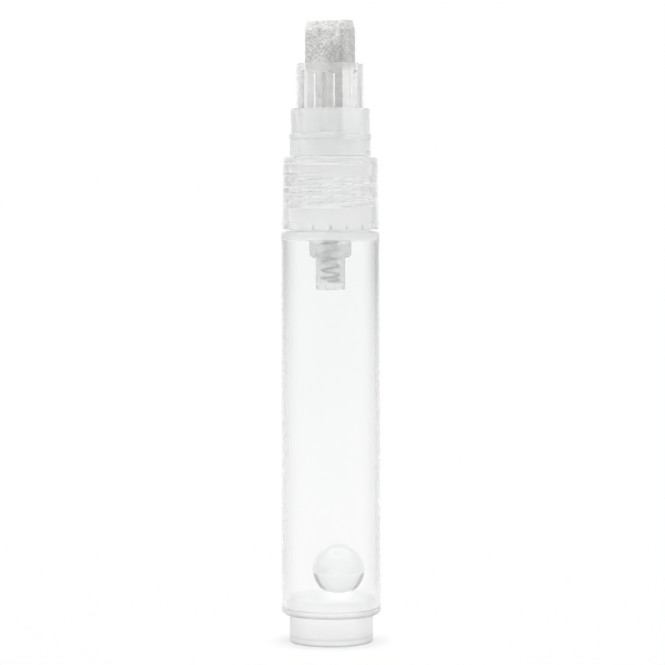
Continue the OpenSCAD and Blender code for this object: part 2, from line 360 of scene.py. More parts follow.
def object_axes(tree):
    """The point on the object, as its X, Y and Z in metres."""
    place = tree.nodes.new("ShaderNodeTexCoord")
    split = tree.nodes.new("ShaderNodeSeparateXYZ")
    tree.links.new(place.outputs["Object"], split.inputs["Vector"])
    return split.outputs


def axis_distance(tree):
    """Distance of the point from the marker's axis, in metres."""
    x, y, _ = object_axes(tree)
    return calculate(tree, "SQRT", total(tree, product(tree, x, x), product(tree, y, y)))


def span_ramp(tree, value, level, span, low=0.0, high=1.0):
    """Eases from one value to another over a span, given as two distances from a level in millimetres."""
    return ramp(tree, value, (level + span[0]) * MM, (level + span[1]) * MM, low, high)


def hump(tree, value, middle, reach):
    """1 at a middle place, easing to 0 at a reach on both sides of it, in millimetres."""
    rise = span_ramp(tree, value, middle, (-reach, 0))
    return product(tree, rise, span_ramp(tree, value, middle, (reach, 0)))


def noise_value(tree, scale, detail, low=0.0, high=1.0, stretch=(1, 1, 1)):
    """A noise over the object, mapped between two values. Scale is in cycles per metre."""
    place = tree.nodes.new("ShaderNodeTexCoord")
    mapping = tree.nodes.new("ShaderNodeMapping")
    mapping.inputs["Scale"].default_value = stretch
    texture = tree.nodes.new("ShaderNodeTexNoise")
    texture.inputs["Scale"].default_value = scale
    texture.inputs["Detail"].default_value = detail
    span = tree.nodes.new("ShaderNodeMapRange")
    span.inputs["From Min"].default_value = NOISE_LOW
    span.inputs["From Max"].default_value = NOISE_HIGH
    span.inputs["To Min"].default_value = low
    span.inputs["To Max"].default_value = high
    tree.links.new(place.outputs["Object"], mapping.inputs["Vector"])
    tree.links.new(mapping.outputs["Vector"], texture.inputs["Vector"])
    tree.links.new(texture.outputs["Fac"], span.inputs["Value"])
    return span.outputs["Result"]


def add_bump(tree, principled, height, strength, distance):
    """Feeds a height to the shader's normal."""
    bump = tree.nodes.new("ShaderNodeBump")
    bump.inputs["Strength"].default_value = strength
    bump.inputs["Distance"].default_value = distance
    tree.links.new(height, bump.inputs["Height"])
    tree.links.new(bump.outputs["Normal"], principled.inputs["Normal"])


def tinted(tree, principled, value, start, end):
    """Colours the shader from one colour to another by a value from 0 to 1."""
    mix = tree.nodes.new("ShaderNodeMix")
    mix.data_type = "RGBA"
    for index, colour in zip(MIX_COLOURS_IN, (start, end)):
        mix.inputs[index].default_value = (*colour, 1)
    tree.links.new(value, mix.inputs["Factor"])
    tree.links.new(mix.outputs[MIX_COLOUR_OUT], principled.inputs["Base Color"])


def absorb(tree, colour, density):
    """Makes the inside of a clear piece absorb light along its path."""
    volume = tree.nodes.new("ShaderNodeVolumeAbsorption")
    volume.inputs["Color"].default_value = (*colour, 1)
    volume.inputs["Density"].default_value = density
    tree.links.new(volume.outputs["Volume"], tree.nodes["Material Output"].inputs["Volume"])


# Materials

WHITE = (1.0, 1.0, 1.0)
CLEAR_TINT = (0.994, 0.996, 0.996)
TUBE_TINT = (0.953, 0.957, 0.957)
# Colour of the foot's faint grey and of its painted shade and painted contact shadow
FOOT_GREY_AND_PAINTED_SHADE = (0.50, 0.51, 0.51)
HEAD_TINT = (0.955, 0.962, 0.962)
CAGE_TINT = (0.95, 0.957, 0.957)
PLUNGER_TINT = (0.99, 0.994, 0.994)
PLASTIC_DEPTH_TINT = (0.48, 0.50, 0.51)
PLASTIC_IOR = 1.49
GLASS_DEPTH_TINT = (0.7, 0.73, 0.72)
GLASS_IOR = 1.52
CLEAR_SPOTS = 0.3
MILKY_DENSITY = 0.5
MILKY_BLUR = 0.24
MILKY_SPREAD = 0.1


def clear_plastic(name, clearness, density, haze, matt, matt_haze, matt_cloud=0.0, cloudy=None,
                  grey=None, grey_colour=CLEAR_TINT):
    """Clear moulded plastic: faint flow marks, hazy patches and light absorbed in the wall.

    matt(tree) gives 1 where the surface is matt, and grey(tree) gives 1 where it has its grey colour.
    Less light passes, by the share matt_cloud, where it is matt or, if given, where cloudy(tree) gives 1.
    """
    material, tree, principled = shader(name)
    principled.inputs["Transmission Weight"].default_value = clearness
    principled.inputs["IOR"].default_value = PLASTIC_IOR
    patches = noise_value(tree, scale=220, detail=2, low=0.7, stretch=(1, 1, 0.35))
    if grey:
        patches = product(tree, patches, grey(tree))
    tinted(tree, principled, patches, WHITE, grey_colour)
    share = matt(tree)
    grain = noise_value(tree, scale=900, detail=3, low=CLEAR_SPOTS * haze, high=haze)
    roughness = total(tree, grain, product(tree, share, matt_haze))
    tree.links.new(roughness, principled.inputs["Roughness"])
    if matt_cloud:
        cloud = product(tree, cloudy(tree) if cloudy else share, matt_cloud)
        passing = calculate(tree, "SUBTRACT", clearness, cloud)
        tree.links.new(passing, principled.inputs["Transmission Weight"])
    absorb(tree, PLASTIC_DEPTH_TINT, density)
    return material


def milky_plastic(name, passing, colour, thin=None, thin_share=0.0):
    """Milky moulded plastic: part of the light passes, blurred, and part is scattered back.

    thin(tree) gives 1 where the wall is thin: it is whiter there, and more light passes, by thin_share.
    """
    material, tree, principled = shader(name)
    principled.inputs["Transmission Weight"].default_value = passing
    principled.inputs["IOR"].default_value = PLASTIC_IOR
    patches = noise_value(tree, scale=350, detail=2)
    if thin:
        share = thin(tree)
        patches = calculate(tree, "MAXIMUM", patches, share)
        thin_passing = total(tree, passing, product(tree, share, thin_share))
        tree.links.new(thin_passing, principled.inputs["Transmission Weight"])
    tinted(tree, principled, patches, colour, WHITE)
    least = (1 - MILKY_SPREAD) * MILKY_BLUR
    most = (1 + MILKY_SPREAD) * MILKY_BLUR
    grain = noise_value(tree, scale=700, detail=2, low=least, high=most)
    tree.links.new(grain, principled.inputs["Roughness"])
    absorb(tree, PLASTIC_DEPTH_TINT, MILKY_DENSITY)
    return material


def ball_glass():
    """Polished glass with a faint grey tint and tiny surface pits."""
    material, tree, principled = shader("ball_glass")
    principled.inputs["Transmission Weight"].default_value = 1.0
    principled.inputs["IOR"].default_value = GLASS_IOR
    patches = noise_value(tree, scale=300, detail=2)
    tinted(tree, principled, patches, start=(0.95, 0.955, 0.955), end=(0.99, 0.99, 0.99))
    pits = noise_value(tree, scale=2500, detail=4, high=0.02)
    tree.links.new(pits, principled.inputs["Roughness"])
    absorb(tree, GLASS_DEPTH_TINT, density=14)
    return material


# Spans of the felt's shades: from the sleeve's mouth, the nib's top, its middle or its narrow face; the
# sleeve, narrow-face and corner values place painted light and painted shade
FELT_BASE = 0.3
MOUTH_SPAN = (-0.5, 0.5)
PAINTED_SLEEVE_LIGHT_SPAN = (0.5, -1.5)
PAINTED_NARROW_LIGHT_SPAN = (-0.5, -2.0)
TIP_SPAN = (-2.4, -1.6)
LOW_SIDE_START = 2.5
LOW_SIDE_END = 1.0
LOW_SIDE_SPAN = (-2.0, 3.0)
LOW_SIDE_EDGE = (-0.1, -0.6)
PAINTED_NARROW_LIGHT_EDGE = (-0.4, -0.1)
NARROW_FACE_PAINTED_SHADE = (-0.3, 0.0)
CORNER_IN = 0.5
CORNER_REACH = 0.7
CORNER_PAINTED_SHADE = -0.25


def felt():
    """Pressed felt: light fibres over darker gaps, paler at its tip, darker low on one side, with painted
    light inside its sleeve and on its narrow face there, and painted shade at its exposed corner and narrow
    face.
    """
    material, tree, principled = shader("nib_felt")
    principled.inputs["Roughness"].default_value = 0.95
    principled.inputs["Sheen Weight"].default_value = 0.2
    x, _, z = object_axes(tree)
    fine = noise_value(tree, scale=3000, detail=4, low=-0.3, high=0.9, stretch=(0.6, 1, 1.3))
    coarse = noise_value(tree, scale=700, detail=3, low=-0.05, high=0.45, stretch=(0.8, 1, 1.2))
    grain = product(tree, calculate(tree, "SUBTRACT", fine, FELT_BASE),
                    span_ramp(tree, z, z_sleeve_top, MOUTH_SPAN, low=0.35))
    tip = span_ramp(tree, z, z_nib_top, TIP_SPAN, high=0.22)
    low_start = (z_nib_top - LOW_SIDE_START) * MM
    low_end = (z_sleeve_top + LOW_SIDE_END) * MM
    low_side = product(tree, span_ramp(tree, x, 0, LOW_SIDE_SPAN),
                       span_ramp(tree, x, nib_half_w, LOW_SIDE_EDGE),
                       ramp(tree, z, low_start, low_end, high=-0.35))
    # painted light: the felt is lighter where it sits inside the sleeve
    painted_sleeve_light = span_ramp(tree, z, z_sleeve_top, PAINTED_SLEEVE_LIGHT_SPAN, high=0.1)
    # painted light: the narrow face is lighter inside the sleeve, as if lit from that side
    painted_narrow_face_light = product(tree, span_ramp(tree, x, nib_half_w, PAINTED_NARROW_LIGHT_EDGE, high=0.4),
                        span_ramp(tree, z, z_sleeve_top, PAINTED_NARROW_LIGHT_SPAN))
    # painted shade: a darker strip at the exposed corner and a darker narrow face, the side turned from the
    # light
    corner = product(tree, hump(tree, x, nib_half_w - CORNER_IN, CORNER_REACH), CORNER_PAINTED_SHADE)
    corner = total(tree, corner, span_ramp(tree, x, nib_half_w, NARROW_FACE_PAINTED_SHADE, high=-0.12))
    painted_corner_shade = product(tree, corner, span_ramp(tree, z, z_sleeve_top, MOUTH_SPAN))
    shade = total(tree, grain, FELT_BASE, coarse, tip, low_side, painted_sleeve_light, painted_narrow_face_light, painted_corner_shade)
    tinted(tree, principled, shade, start=(0.40, 0.40, 0.395), end=(0.90, 0.90, 0.89))
    tufts = noise_value(tree, scale=1800, detail=4)
    add_bump(tree, principled, tufts, strength=0.6, distance=0.0002)
    return material


def spring_steel():
    """Drawn steel wire with fine streaks."""
    material, tree, principled = shader("spring_steel")
    principled.inputs["Metallic"].default_value = 1.0
    patches = noise_value(tree, scale=1500, detail=4)
    tinted(tree, principled, patches, start=(0.37, 0.375, 0.38), end=(0.48, 0.485, 0.49))
    streaks = noise_value(tree, scale=4000, detail=3, low=0.25, high=0.45, stretch=(1, 1, 0.1))
    tree.links.new(streaks, principled.inputs["Roughness"])
    return material


def pale_rubber(name):
    """Soft pale ring material with a matt grain."""
    material, tree, principled = shader(name)
    patches = noise_value(tree, scale=1200, detail=4)
    tinted(tree, principled, patches, start=(0.80, 0.80, 0.78), end=(0.88, 0.88, 0.87))
    sheen = noise_value(tree, scale=2000, detail=3, low=0.55, high=0.75)
    tree.links.new(sheen, principled.inputs["Roughness"])
    grain = noise_value(tree, scale=3000, detail=4)
    add_bump(tree, principled, grain, strength=0.2, distance=0.00005)
    return material


# Where the clear and milky plastics change: spans from the level or radius that each function names
NECK_MATT = (-2.2, -1.5)
TUBE_GREY_END = 8.0
SHOULDER_CLEAR = (-1.0, -2.0)
FOOT_MATT = (-0.4, 0.0)
SPIGOT_CLOUDY = (-0.3, 0.2)
# Painted shade on the foot: a painted contact shadow at its resting edge, painted shade at the flare and
# under the flange
FOOT_EDGE_PAINTED_SHADOW = (0.5, 0.1)
FLARE_PAINTED_SHADE_Z = 1.4
FLARE_PAINTED_SHADE_REACH = 0.5
FLARE_PAINTED_SHADE = 0.4
UNDER_FLANGE_Z = 0.3
UNDER_FLANGE_REACH = 0.6
UNDER_FLANGE_OUT = (0.1, 0.7)
FOOT_GREY = (1.0, -0.5)
COLLAR_INSIDE = (-0.45, -0.65)
RIB_MATT = (-0.02, -0.12)
HEAD_TO_TUBE = (6.0, 2.0)


def neck_matt(tree):
    """The neck and the shoulder are matt, and the tube below them is clear."""
    return span_ramp(tree, object_axes(tree)["Z"], z_shoulder, NECK_MATT)


def tube_grey(tree):
    """The tube is greyer towards its upper end, but not at its shoulder."""
    z = object_axes(tree)["Z"]
    rise = ramp(tree, z, z_barrel * MM, (z_shoulder - TUBE_GREY_END) * MM, low=0.4)
    return product(tree, rise, span_ramp(tree, z, z_shoulder, SHOULDER_CLEAR))


def plug_matt(tree):
    """The plug is matt, a little more so on its foot than above it."""
    return span_ramp(tree, object_axes(tree)["Z"], FOOT_H, FOOT_MATT, low=1.0, high=0.9)


def spigot_cloud(tree):
    """The plug is cloudy inside the barrel."""
    return span_ramp(tree, object_axes(tree)["Z"], z_barrel, SPIGOT_CLOUDY)


def foot_grey_and_painted_shade(tree):
    """Painted shade on the plug: a painted contact shadow at the foot's resting edge, painted shade under the
    flange and, less, at the flare, over a faint grey on the foot.
    """
    z = object_axes(tree)["Z"]
    # painted contact shadow at the foot's resting edge
    edge = span_ramp(tree, z, 0, FOOT_EDGE_PAINTED_SHADOW)
    # painted shade at the flare and under the flange's rim
    flare = product(tree, hump(tree, z, FLARE_PAINTED_SHADE_Z, FLARE_PAINTED_SHADE_REACH), FLARE_PAINTED_SHADE)
    under = product(tree, hump(tree, z, FOOT_H + UNDER_FLANGE_Z, UNDER_FLANGE_REACH),
                    span_ramp(tree, axis_distance(tree), FOOT_R, UNDER_FLANGE_OUT))
    faint = span_ramp(tree, z, FOOT_H, FOOT_GREY, low=0.02, high=0.04)
    return total(tree, edge, flare, under, faint)


def collar_matt(tree):
    """The collar is matt inside and clear outside."""
    return span_ramp(tree, axis_distance(tree), collar_r, COLLAR_INSIDE)


def rib_matt(tree):
    """The sleeve's ribs are matt, and its wall is clear."""
    return span_ramp(tree, axis_distance(tree), sleeve_bore_r, RIB_MATT)


def tube_thin(tree):
    """1 on the valve tube, whose wall is thin, and 0 on the head above it."""
    return span_ramp(tree, object_axes(tree)["Z"], z_shoulder, HEAD_TO_TUBE)


barrel_clear = clear_plastic(
    "barrel_clear", clearness=0.98, density=0.5, haze=0.02, matt=neck_matt, matt_haze=0.36,
    matt_cloud=0.36, grey=tube_grey, grey_colour=TUBE_TINT)
# The plug's grey carries the foot's painted shade and painted contact shadow
plug_clear = clear_plastic(
    "plug_clear", clearness=0.9, density=1, haze=0.04, matt=plug_matt, matt_haze=0.3,
    matt_cloud=0.3, cloudy=spigot_cloud, grey=foot_grey_and_painted_shade, grey_colour=FOOT_GREY_AND_PAINTED_SHADE)
collar_clear = clear_plastic(
    "collar_clear", clearness=0.94, density=0.5, haze=0.08, matt=collar_matt, matt_haze=0.45, matt_cloud=0.3)
sleeve_clear = clear_plastic(
    "sleeve_clear", clearness=0.98, density=6, haze=0.06, matt=rib_matt, matt_haze=0.2)
head_milky = milky_plastic("head_milky", passing=0.72, colour=HEAD_TINT, thin=tube_thin, thin_share=0.2)
cage_milky = milky_plastic("cage_milky", passing=0.83, colour=CAGE_TINT)
plunger_milky = milky_plastic("plunger_milky", passing=0.6, colour=PLUNGER_TINT)
gasket_rubber = pale_rubber("gasket_rubber")
seal_rubber = pale_rubber("seal_rubber")
ball_material = ball_glass()
nib_felt = felt()
steel = spring_steel()


# Barrel and end plug

def neck_wave(r, z, angle):
    """Raises the thread on the neck's outside."""
    if abs(r - THREAD_ROOT_R) > TINY:
        return r
    return r + THREAD_DEPTH * thread_crest(z, angle) * thread_fade(z)


def make_barrel():
    """Tube with a shoulder and a threaded neck."""
    z_inside = z_shoulder - SHOULDER_T
    outside = [
        (chamber_r, z_barrel, CRISP_EASE),
        (barrel_r, z_barrel, CRISP_EASE),
        (barrel_r - BARREL_DRAFT, z_shoulder, BROAD_EASE),
        (THREAD_ROOT_R, z_shoulder),
    ]
    thread = [(THREAD_ROOT_R, z) for z in thread_heights()]
    inside = [
        (THREAD_ROOT_R, z_neck, SOFT_EASE),
        (NECK_BORE_R, z_neck, SOFT_EASE),
        (NECK_BORE_R, z_inside, ROUND_EASE),
        (chamber_r, z_inside, SMALL_EASE),
    ]
    outline = rounded(outside + thread + inside)
    piece = new_object("barrel_tube", turned(outline, neck_wave), "barrel", barrel_clear)
    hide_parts("barrel")


def make_plug():
    """Plug with a rounded flange, a spigot in the tube and a hollow foot."""
    spigot_r = chamber_r - PRESS_GAP
    z_top = z_barrel - PRESS_GAP
    z_hollow = z_floor - PLUG_FLOOR_T
    outline = rounded([
        (0, z_hollow),
        (FOOT_HOLLOW_R, z_hollow, HOLLOW_EASE),
        (FOOT_HOLLOW_R, FOOT_FLARE_H, ROUND_EASE),
        (FOOT_FLARE_R, 0, FINE_EASE),
        (FOOT_R, 0, ROUND_EASE),
        (FOOT_R, FOOT_H, MEDIUM_EASE),
        (barrel_r, FOOT_H, FLANGE_EASE),
        (barrel_r, z_top, CRISP_EASE),
        (spigot_r, z_top, CRISP_EASE),
        (spigot_r, z_floor, SPIGOT_EASE),
        (0, z_floor),
    ], PLUG_EASE_STEPS)
    piece = new_object("end_plug_foot", turned(outline), "barrel", plug_clear)
    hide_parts("end_plug")


# Mixing ball

BALL_SEGMENTS = 128
BALL_RINGS = 80
BALL_INSET = 0.01
BALL_UNEVEN = 0.0008
BALL_WAVES = 0.5


def make_ball():
    """Glass ball with a faintly uneven surface."""
    low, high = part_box("mixing_ball")
    centre = (low + high) / 2 / MM
    ball_r = (high.x - low.x) / 2 / MM
    mesh_data = bmesh.new()
    bmesh.ops.create_uvsphere(mesh_data, u_segments=BALL_SEGMENTS, v_segments=BALL_RINGS,
                              radius=ball_r - BALL_INSET)
    for vertex in mesh_data.verts:
        vertex.co *= 1 + BALL_UNEVEN * noise.noise(vertex.co * BALL_WAVES)
        vertex.co += centre
    piece = new_object("mixing_ball_glass", mesh_data, "ball", ball_material)
    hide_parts("mixing_ball")


# Valve head, gasket and collar

def make_valve_head():
    """Cap seat with bead, flange, seal skirt, web with the valve seat, and valve tube."""
    tube_r = tube_bore_r + TUBE_WALL
    inner_r = tube_bore_r + FIT_GAP
    skirt_bore_r = SKIRT_R - SKIRT_WALL
    socket_r = sleeve_r + FIT_GAP
    band_r = SEAT_R + BAND_OUT
    bead_r = SEAT_R + BEAD_OUT
    z_skirt = z_head_flange - SKIRT_H
    z_flange_top = z_lip - FIT_GAP
    z_seat = z_head_top - SEAT_H
    z_bead = z_seat - BEAD_H
    z_band = z_bead - BAND_H
    z_socket_floor = z_socket - FIT_GAP
    z_web_top = z_web + WEB_T
    outline = rounded([
        (inner_r, z_tube, FINE_EASE),
        (tube_r - TUBE_CHAMFER, z_tube, SOFT_EASE),
        (tube_r, z_tube + TUBE_CHAMFER, ROUND_EASE),
        (tube_r, z_web, WIDE_EASE),
        (skirt_bore_r, z_web, WIDE_EASE),
        (skirt_bore_r, z_skirt, SOFT_EASE),
        (SKIRT_R, z_skirt, BROAD_EASE),
        (SKIRT_R, z_head_flange, FINE_EASE),
        (FLANGE_R, z_head_flange, SMALL_EASE),
        (FLANGE_R, z_flange_top, SMALL_EASE),
        (GROOVE_R, z_flange_top, FINE_EASE),
        (GROOVE_R, z_band, FINE_EASE),
        (band_r, z_band, FINE_EASE),
        (band_r, z_bead, SOFT_EASE),
        (SEAT_R, z_bead + BEAD_ROOT, KEEN_EASE),
        (bead_r, z_bead + BEAD_LOW, ROUND_EASE),
        (bead_r, z_seat - BEAD_HIGH, MEDIUM_EASE),
        (SEAT_R, z_seat + BEAD_END, SOFT_EASE),
        (SEAT_R, z_head_top, FULL_EASE),
        (socket_r, z_head_top, SOFT_EASE),
        (socket_r, z_socket_floor, FINE_EASE),
        (sleeve_bore_r, z_socket_floor, SMALL_EASE),
        (sleeve_bore_r, z_web_top, ROUND_EASE),
        (SEAT_HOLE_R, z_web_top, SOFT_EASE),
        (SEAT_HOLE_R, z_web, SMALL_EASE),
        (inner_r, z_web, ROUND_EASE),
    ])
    piece = new_object("valve_head_body", turned(outline), "valve_head", head_milky)
    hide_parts("valve_head")


def make_seal():
    """Ring on the plunger's head that closes the valve seat."""
    bore_r = STEM_R + FIT_GAP
    low = z_plunger_head + FIT_GAP
    high = z_web - FIT_GAP
    outline = rounded([
        (bore_r, low, FINE_EASE),
        (seal_r, low, ROUND_EASE),
        (seal_r, high, FULL_EASE),
        (bore_r, high, FINE_EASE),
    ])
    piece = new_object("seal_ring", turned(outline), "plunger", seal_rubber)
    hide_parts("plunger_seal")


def make_gasket():
    """Thin ring on the neck's mouth."""
    low = z_gasket + FIT_GAP
    high = z_head_flange - FIT_GAP
    outline = rounded([
        (NECK_BORE_R, low, SMALL_EASE),
        (gasket_r, low, SOFT_EASE),
        (gasket_r, high, SOFT_EASE),
        (NECK_BORE_R, high, SMALL_EASE),
    ])
    piece = new_object("gasket_ring", turned(outline), "valve_head", gasket_rubber)
    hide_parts("neck_gasket")


NOTCHES = 16
NOTCH_TURN = -29 * TAU / SEGMENTS
NOTCH_SHARE = 0.06
NOTCH_FLANK = 0.03
NOTCH_DEPTH = 0.7
NOTCH_H = 1.0
NOTCH_STEP = 0.05


def collar_wave(r, z, angle):
    """Sinks the collar's inside between the crests of the neck's thread, and notches its lower inner edge."""
    if abs(r - COLLAR_BORE_R) > TINY:
        return r
    if z <= z_collar + NOTCH_H:
        phase = ((angle - NOTCH_TURN) / TAU * NOTCHES + 0.5) % 1.0 - 0.5
        return r + NOTCH_DEPTH * smooth((NOTCH_SHARE / 2 - abs(phase)) / NOTCH_FLANK + 0.5)
    return r - THREAD_DEPTH * (1 - thread_crest(z, angle)) * thread_fade(z)


def make_collar():
    """Union collar with a lip over the flange, an inner thread and a band at its lower edge."""
    lip_r = GROOVE_R + LIP_GAP
    z_band = z_collar + COLLAR_BAND_H
    z_notch = z_collar + NOTCH_H
    outside = [
        (COLLAR_BORE_R, z_collar),
        (collar_r, z_collar, SOFT_EASE),
        (collar_r, z_band, ROUND_EASE),
        (collar_r - COLLAR_BAND_OUT, z_band + COLLAR_BAND_SLOPE, SOFT_EASE),
        (collar_r - COLLAR_TAPER, z_collar_top, COLLAR_TOP_EASE),
        (lip_r, z_collar_top, LIP_EASE),
        (lip_r, z_lip, SMALL_EASE),
        (COLLAR_BORE_R, z_lip, FULL_EASE),
    ]
    inside = [(COLLAR_BORE_R, z) for z in reversed(thread_heights())]
    inside += [(COLLAR_BORE_R, z_notch + NOTCH_STEP), (COLLAR_BORE_R, z_notch)]
    outline = rounded(outside + inside)
    mesh_data = turned(outline, collar_wave)
    piece = new_object("collar_shell", mesh_data, "screw_collar", collar_clear)
    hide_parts("screw_collar")


# Nib and its sleeve

RIB_SPACING = 5.0
RIB_T = 0.8
RIB_DROP = 1.5
RIB_LEAD = 0.8
RIB_CLEAR = 0.12
RIB_END = 0.05
RIB_FOOT_SHARE = 0.02
LEAST_ANGLE = 0.008
PLATE_GAP = 0.6
SLEEVE_RIM = 0.3
SLEEVE_RIM_STEPS = 5
MOUTH_CHAMFER = 0.15


def sleeve_ribs():
    """The sleeve's ribs, each as (point on its middle line, outward direction, distance of its tip)."""
    ribs = []
    for sign in (1, -1):
        for side in (-1, 1):
            ribs.append((Vector((side * RIB_SPACING / 2, 0)), Vector((0, sign)), nib_half_t + RIB_CLEAR))
        ribs.append((Vector((0, 0)), Vector((sign, 0)), nib_half_w + RIB_CLEAR))
    return ribs


def rib_points(base, outward, tip_reach):
    """One rib's four points in order of angle: a foot, the tip's two corners and the other foot."""
    across = Vector((outward.y, -outward.x))
    edges = []
    for edge in (-RIB_T / 2, RIB_T / 2):
        offset = base + across * edge
        reach = math.sqrt(sleeve_bore_r ** 2 - offset.length ** 2)
        foot = offset + outward * reach
        edges.append((math.atan2(foot.y, foot.x) % TAU, offset + outward * tip_reach))
    edges.sort(key=lambda item: item[0])
    if edges[1][0] - edges[0][0] > math.pi:
        edges.reverse()
    (first, first_tip), (last, last_tip) = edges
    foot_angle = (last - first) % TAU * RIB_FOOT_SHARE
    return [
        (first, None),
        ((first + foot_angle) % TAU, first_tip),
        ((last - foot_angle) % TAU, last_tip),
        (last, None),
    ]


def sleeve_section():
    """Points round the sleeve's bore in order of angle, as (angle, point on a rib's tip or None)."""
    section = []
    spans = []
    for rib in sleeve_ribs():
        points = rib_points(*rib)
        section += points
        spans.append((points[0][0], points[-1][0]))
    taken = [angle for angle, _ in section]
    for k in range(SEGMENTS):
        angle = TAU * k / SEGMENTS
        in_rib = any((angle - first) % TAU < (last - first) % TAU for first, last in spans)
        nearest = min(abs((angle - other + math.pi) % TAU - math.pi) for other in taken)
        if nearest > LEAST_ANGLE and not in_rib:
            section.append((angle, None))
    return sorted(section, key=lambda item: item[0])


def make_sleeve():
    """Clear sleeve with inner ribs that hold the nib."""
    section = sleeve_section()
    mesh_data = bmesh.new()

    def circle(r, z):
        return [mesh_data.verts.new((r * math.cos(a), r * math.sin(a), z)) for a, _ in section]

    def ribbed(z):
        ring = []
        for angle, tip in section:
            x, y = tip if tip else (sleeve_bore_r * math.cos(angle), sleeve_bore_r * math.sin(angle))
            ring.append(mesh_data.verts.new((x, y, z)))
        return ring

    z_rib_low = z_nib + PLATE_GAP
    z_rib_high = z_sleeve_top - RIB_DROP
    rim_r = sleeve_r - SLEEVE_RIM
    z_rim = z_sleeve_top - SLEEVE_RIM
    rings = [circle(sleeve_bore_r, z_socket), circle(sleeve_r, z_socket)]
    for step in range(SLEEVE_RIM_STEPS + 1):
        turn = math.pi / 2 * step / SLEEVE_RIM_STEPS
        rings.append(circle(rim_r + SLEEVE_RIM * math.cos(turn), z_rim + SLEEVE_RIM * math.sin(turn)))
    rings += [circle(sleeve_bore_r + MOUTH_CHAMFER, z_sleeve_top)]
    rings += [circle(sleeve_bore_r, z_sleeve_top - MOUTH_CHAMFER)]
    rings += [circle(sleeve_bore_r, z_rib_high), ribbed(z_rib_high - RIB_LEAD)]
    rings += [ribbed(z_rib_low), circle(sleeve_bore_r, z_rib_low - RIB_END)]
    for low, high in zip(rings, rings[1:] + rings[:1]):
        bridge(mesh_data, low, high)
    piece = new_object("sleeve_ribbed", mesh_data, "valve_head", sleeve_clear)
    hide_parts("nib_sleeve")


BEVEL_H = 2.0
BEVEL_DEPTH = 0.9
FELT_STEP = 0.16
FELT_TALL = 1.2
FELT_ROUGH = 0.11
TUFT_WAVES = 2.6
SMALL_TUFT_WAVES = 6.1
SMALL_TUFT_SHARE = 0.7
TUFT_SINK = 0.55
TUFT_SWING = 0.45
TIP_SINK = 0.6
TIP_SWING = 0.6
TIP_LAYER = 0.05
HELD_ROUGH = 0.25
EXPOSED_START = 1.0
EXPOSED_RISE = 1.5
FIBRES = 900
FIBRE_SEED = 7
FIBRE_SIDES = 3
FIBRE_R = 0.035
FIBRE_CLEAR = 3 * FIBRE_R
FIBRE_LENGTH = 0.45
FIBRE_SHORTEST = 0.5
FIBRE_START = 0.3
FIBRE_ROOT = 0.1
FIBRE_SPREAD = 0.8
FIBRE_DROOP = -0.4
FIBRE_TOP_GAP = 0.01


def lay_flat(tip):
    """Keeps a fibre's tip off the ribs that pass it when the nib is pressed in."""
    if tip.z > z_sleeve_top - RIB_DROP + PRESS + FIBRE_R:
        return
    edge = RIB_T / 2 + FIBRE_CLEAR
    if abs(abs(tip.x) - RIB_SPACING / 2) < edge:
        limit = nib_half_t + RIB_CLEAR / 2
        tip.y = max(-limit, min(limit, tip.y))
    if abs(tip.y) < edge:
        limit = nib_half_w + RIB_CLEAR / 2
        tip.x = max(-limit, min(limit, tip.x))


def add_fibres(mesh_data):
    """Short loose fibres that stand out from the felt above its sleeve."""
    random.seed(FIBRE_SEED)
    z_lowest = z_sleeve_top + FIBRE_START
    roots = [face for face in mesh_data.faces if face.calc_center_median().z > z_lowest]
    for face in random.sample(roots, FIBRES):
        root = face.calc_center_median()
        spread = Vector((random.uniform(-1, 1), random.uniform(-1, 1), random.uniform(FIBRE_DROOP, 1.0)))
        along = (face.normal + FIBRE_SPREAD * spread).normalized()
        across = along.orthogonal().normalized()
        base = []
        for side in range(FIBRE_SIDES):
            angle = TAU * side / FIBRE_SIDES
            arm = across * math.cos(angle) + along.cross(across) * math.sin(angle)
            base.append(mesh_data.verts.new(root - along * FIBRE_ROOT + arm * FIBRE_R))
        tip = root + along * random.uniform(FIBRE_SHORTEST, 1.0) * FIBRE_LENGTH
        tip.z = min(tip.z, z_nib_top - FIBRE_TOP_GAP)
        lay_flat(tip)
        bridge(mesh_data, base, [mesh_data.verts.new(tip)])
        mesh_data.faces.new(reversed(base))


def felt_grid():
    """A bmesh of the nib's plain block, cut into small faces."""
    mesh_data = bmesh.new()
    bmesh.ops.create_cube(mesh_data, size=1)
    size = Vector((2 * nib_half_w, 2 * nib_half_t, z_nib_top - z_nib))
    middle = Vector((0, 0, (z_nib + z_nib_top) / 2))
    for vertex in mesh_data.verts:
        vertex.co = Vector(a * b for a, b in zip(vertex.co, size)) + middle
    start = Vector((-size.x / 2, -size.y / 2, z_nib))
    steps = (FELT_STEP, FELT_STEP, FELT_STEP * FELT_TALL)
    for axis, (length, step) in enumerate(zip(size, steps)):
        cuts = round(length / step)
        along = Vector((axis == 0, axis == 1, axis == 2))
        for cut in range(1, cuts):
            everything = mesh_data.verts[:] + mesh_data.edges[:] + mesh_data.faces[:]
            place = start + along * length * cut / cuts
            bmesh.ops.bisect_plane(mesh_data, geom=everything, plane_co=place, plane_no=along)
    return mesh_data


